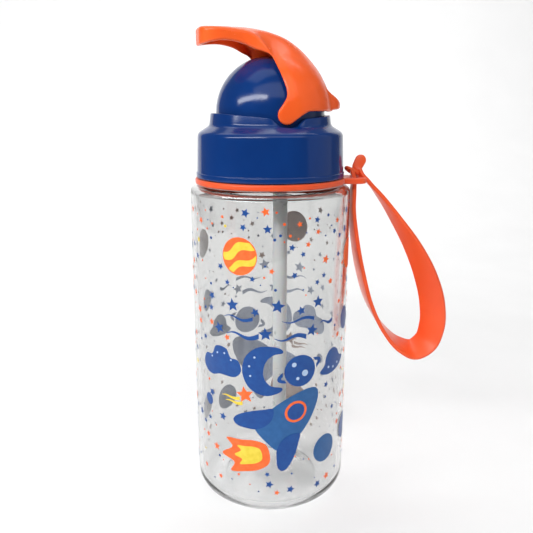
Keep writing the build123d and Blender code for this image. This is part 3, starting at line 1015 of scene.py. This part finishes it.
def body_print():
    """Space picture in printing inks: rocket, planets, cloud, moon, saucer, comet tails, stars and dots."""
    striped_planet = (-12.4, 115.6)
    # each layer's second material is its back: the white underbase in a grey of painted shade
    blue = PrintLayer("print_blue", INK_BLUE, UNDERBASE_PAINTED_SHADE, 0)
    sky = PrintLayer("print_sky", INK_SKY, UNDERBASE_PAINTED_SHADE, 0)
    orange = PrintLayer("print_orange", INK_ORANGE, WARM_UNDERBASE_PAINTED_SHADE, 1)
    yellow = PrintLayer("print_yellow", INK_YELLOW, WARM_UNDERBASE_PAINTED_SHADE, 2)
    fins = PrintLayer("print_fins", INK_BLUE, UNDERBASE_PAINTED_SHADE, 2)
    pale = PrintLayer("print_pale", INK_PALE, UNDERBASE_PAINTED_SHADE, 2)

    def on_rocket(points):
        """Outline moved from the rocket's own directions to its place on the body."""
        return moved(points, 8.6, 47.0, turn=43)

    sky.both_sides(on_rocket(smooth_outline(ROCKET_HULL)))
    for half in (1, -1):
        fins.both_sides(on_rocket([(x, half * y) for x, y in smooth_outline(ROCKET_FIN)][::half]))
    orange.both_sides(moved(smooth_outline(FLAME), -1.6, 30.6, turn=10))
    yellow.both_sides(moved(smooth_outline(FLAME), -4.2, 30.4, scale=0.56, turn=10))
    orange.both_sides(on_rocket(ellipse(3.4, 0.4, 5.0, 4.6)))
    fins.both_sides(on_rocket(ellipse(3.4, 0.4, 3.9, 3.5)))

    orange.both_sides(ellipse(*striped_planet, 7.3, 7.6))
    for middle, height, wave, phase in ((2.6, 3.4, 1.0, 0.6), (-3.4, 2.6, 0.8, 2.4)):
        band = wavy_band(7.0, middle, height, wave, phase, 24)
        yellow.both_sides(moved(band, *striped_planet))

    for x, y, shape, size, turn in (
        (-22.5, 68.6, CLOUD, 1.0, 4), (-2.6, 68.4, CRESCENT, 1.02, -6), (30.4, 67.2, SAUCER, 0.74, 10),
    ):
        blue.both_sides(smooth_outline(moved(shape, x, y, size, turn)))
    ringed_planet(blue, 12.6, 67.6, 6.9, turn=20)
    for x, y, size in (
        (-26.9, 71.0, 0.42), (-23.7, 73.4, 0.42), (-19.9, 74.0, 0.42), (-16.7, 71.6, 0.42),
        (-6.4, 74.2, 0.45), (-8.6, 70.2, 0.45), (-8.2, 66.0, 0.45), (9.8, 70.6, 1.0), (14.6, 66.4, 1.4),
        (11.4, 64.4, 0.7), (27.2, 65.8, 0.55), (30.4, 65.0, 0.55), (33.6, 66.0, 0.55),
    ):
        pale.both_sides(ellipse(x, y, size, size, steps=14))

    for x, y, size, turn in (
        (-15.6, 95.4, 2.9, 8), (-6.0, 93.2, 1.9, 30), (3.0, 95.8, 3.0, -10), (12.6, 93.4, 2.0, 16),
        (20.4, 96.0, 2.7, 0), (-22.4, 84.6, 2.6, 20), (-2.0, 84.2, 2.9, 4), (17.6, 84.4, 2.8, -14),
    ):
        blue.both_sides(star(x, y, size, turn))
    for x, y, length, rise, width in (
        (-19.6, 90.2, 12.6, 0.9, 1.6), (4.6, 89.6, 14.0, -0.9, 1.6), (-18.6, 83.0, 14.0, 1.1, 2.2),
        (1.6, 82.4, 13.4, -1.1, 2.2), (21.4, 86.6, 7.6, 0.8, 1.8),
    ):
        blue.both_sides(swoosh(x, y, length, rise, width))
    sky.both_sides(ellipse(25.8, 28.3, 6.3, 6.4))
    blue.both_sides(ellipse(44.5, 31.0, 6.0, 6.0))
    orange.both_sides(star(-10.6, 57.2, 3.9, 10))
    yellow.both_sides(swoosh(-21.4, 55.2, 8.6, 0.4, 1.7))
    yellow.both_sides(swoosh(-19.6, 53.2, 8.0, 0.4, 1.7))
    blue.both_sides(ellipse(-29.6, 50.5, 2.2, 2.6, 20))
    orange.both_sides(ellipse(44.0, 112.0, 6.4, 6.6))
    blue.both_sides(ellipse(41.0, 84.0, 4.4, 5.2, 8))

    avoid = (
        (6.0, 44.0, 23.5, 15.0), (-10.0, 33.0, 15.0, 13.0), (-12.4, 116.0, 9.0, 9.2),
        (0.0, 68.5, 41.0, 12.5), (0.0, 89.5, 27.0, 10.5), (-14.0, 56.0, 11.0, 5.5), (25.8, 28.3, 8.0, 8.0),
        (44.5, 31.0, 7.5, 7.5), (-29.6, 50.5, 4.0, 4.0), (44.0, 112.0, 8.0, 8.0), (41.0, 84.0, 6.0, 7.0),
    )
    for x, y, size, turn, pick in scatter(avoid):
        layer = blue if pick < BLUE_BELOW else orange if pick < ORANGE_BELOW else yellow
        layer.add(star(x, y, size, turn) if size in STAR_SIZES else ellipse(x, y, size, size, steps=10))
    for layer in (blue, sky, orange, yellow, fins, pale):
        layer.build()


# ---------------------------------------------------------------- carried-over CAD nodes
def dress_cad_nodes():
    """Gives the CAD nodes that this file doesn't replace their finished materials."""
    finishes = {
        "neck_ring": ORANGE_SOFT,
        "dome_cover": BLUE,
        "lid_gasket": SILICONE,
        "vent_valve": SILICONE,
        "spout_base": SILICONE,
        "spout_tip": SILICONE,
        "straw_socket": STRAW_MILK,
        "straw": STRAW_MILK,
    }
    for node, material in finishes.items():
        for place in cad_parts[node].material_slots:
            place.material = material


# ---------------------------------------------------------------- stage, light and camera
STAGE_NEAR, STAGE_FAR = -600, 900
STAGE_HALF_WIDTH = 800
BACKDROP_TOP = 800
BACKDROP_CURVE_R = 400


def stage():
    """Pale floor that curves up into a backdrop behind the bottle."""
    dark, light, mottle_size = (0.86, 0.86, 0.86), (0.88, 0.88, 0.88), 60.0
    material, nodes, links, shader = new_material("studio_paper")
    tone = ramp(nodes, links, noise(nodes, links, mottle_size), ((NOISE_LOW, dark), (NOISE_HIGH, light)))
    links.new(tone, shader.inputs["Base Color"])
    shader.inputs["Roughness"].default_value = 0.9
    profile = rounded([
        (STAGE_NEAR, 0, 0), (STAGE_FAR, 0, BACKDROP_CURVE_R), (STAGE_FAR, BACKDROP_TOP, 0),
    ], 24)
    verts, faces = [], []
    for along, up in profile:
        for across in (-STAGE_HALF_WIDTH, STAGE_HALF_WIDTH):
            verts.append((*turned(across, along), up))
    for i in range(len(profile) - 1):
        faces.append((2 * i, 2 * i + 1, 2 * i + 3, 2 * i + 2))
    floor = mesh_object("studio_floor", verts, faces)
    floor.data.materials.append(material)


def area_light(name, place, target, size, watts, roll=0.0):
    """Rectangular light at a place in metres, aimed at a target and rolled about its aim in degrees."""
    light = bpy.data.lights.new(name, "AREA")
    light.shape = "RECTANGLE"
    light.size, light.size_y = size
    light.energy = watts
    lamp = bpy.data.objects.new(name, light)
    lamp.location = place
    aim = (Vector(target) - Vector(place)).to_track_quat("-Z", "Y")
    lamp.rotation_euler = (aim @ Quaternion((0.0, 0.0, 1.0), math.radians(roll))).to_euler()
    bpy.context.scene.collection.objects.link(lamp)


def facing(right, towards_camera, up):
    """Point in metres, given to the camera's right, towards the camera and up from the bottle's base."""
    return (*turned(right, -towards_camera), up)


def studio():
    """Even white surroundings and five area lights, with a display transform that keeps colours plain."""
    air_strength = 0.16
    world = bpy.data.worlds.new("studio_air")
    bpy.context.scene.world = world
    world.use_nodes = True
    air = world.node_tree.nodes["Background"]
    air.inputs["Color"].default_value = (1.0, 1.0, 1.0, 1.0)
    air.inputs["Strength"].default_value = air_strength
    middle = (0.0, 0.0, 0.12)
    area_light("top_soft", facing(-0.2, -0.35, 1.3), facing(-0.1, -0.15, 0.0), (1.5, 1.3), 6.5)
    area_light("key_left", facing(-0.55, 0.62, 0.62), middle, (1.1, 0.15), 7.6, roll=14.0)
    area_light("front_soft", facing(0.2, 0.95, 1.2), middle, (2.2, 0.8), 7.4)
    area_light("fill_right", facing(0.8, 0.1, 0.4), middle, (0.8, 0.8), 0.7)
    area_light("back_wash", facing(0.0, -0.4, 1.1), facing(0.0, -1.4, 0.3), (1.4, 0.5), 5.6)
    bpy.context.scene.view_settings.view_transform = "Standard"


def camera():
    """Camera facing the print and tilted down, with its distance and height in metres."""
    distance, height, tilt = 0.2592, 0.1708, math.radians(14.6)
    sensor, lens, sideways_shift = 36.0, 40.761726, -0.0071
    data = bpy.data.cameras.new("camera")
    data.sensor_width = sensor
    data.lens = lens
    data.shift_x = sideways_shift
    data.clip_start = 0.01
    data.clip_end = 20.0
    eye = bpy.data.objects.new("camera", data)
    eye.location = facing(0.0, distance, height)
    eye.rotation_euler = (math.pi / 2 - tilt, 0.0, FRONT_TURN)
    bpy.context.scene.collection.objects.link(eye)
    bpy.context.scene.camera = eye


bottle_shell()
lid_shell()
flip_lever()
strap()
body_print()
dress_cad_nodes()
stage()
studio()
camera()
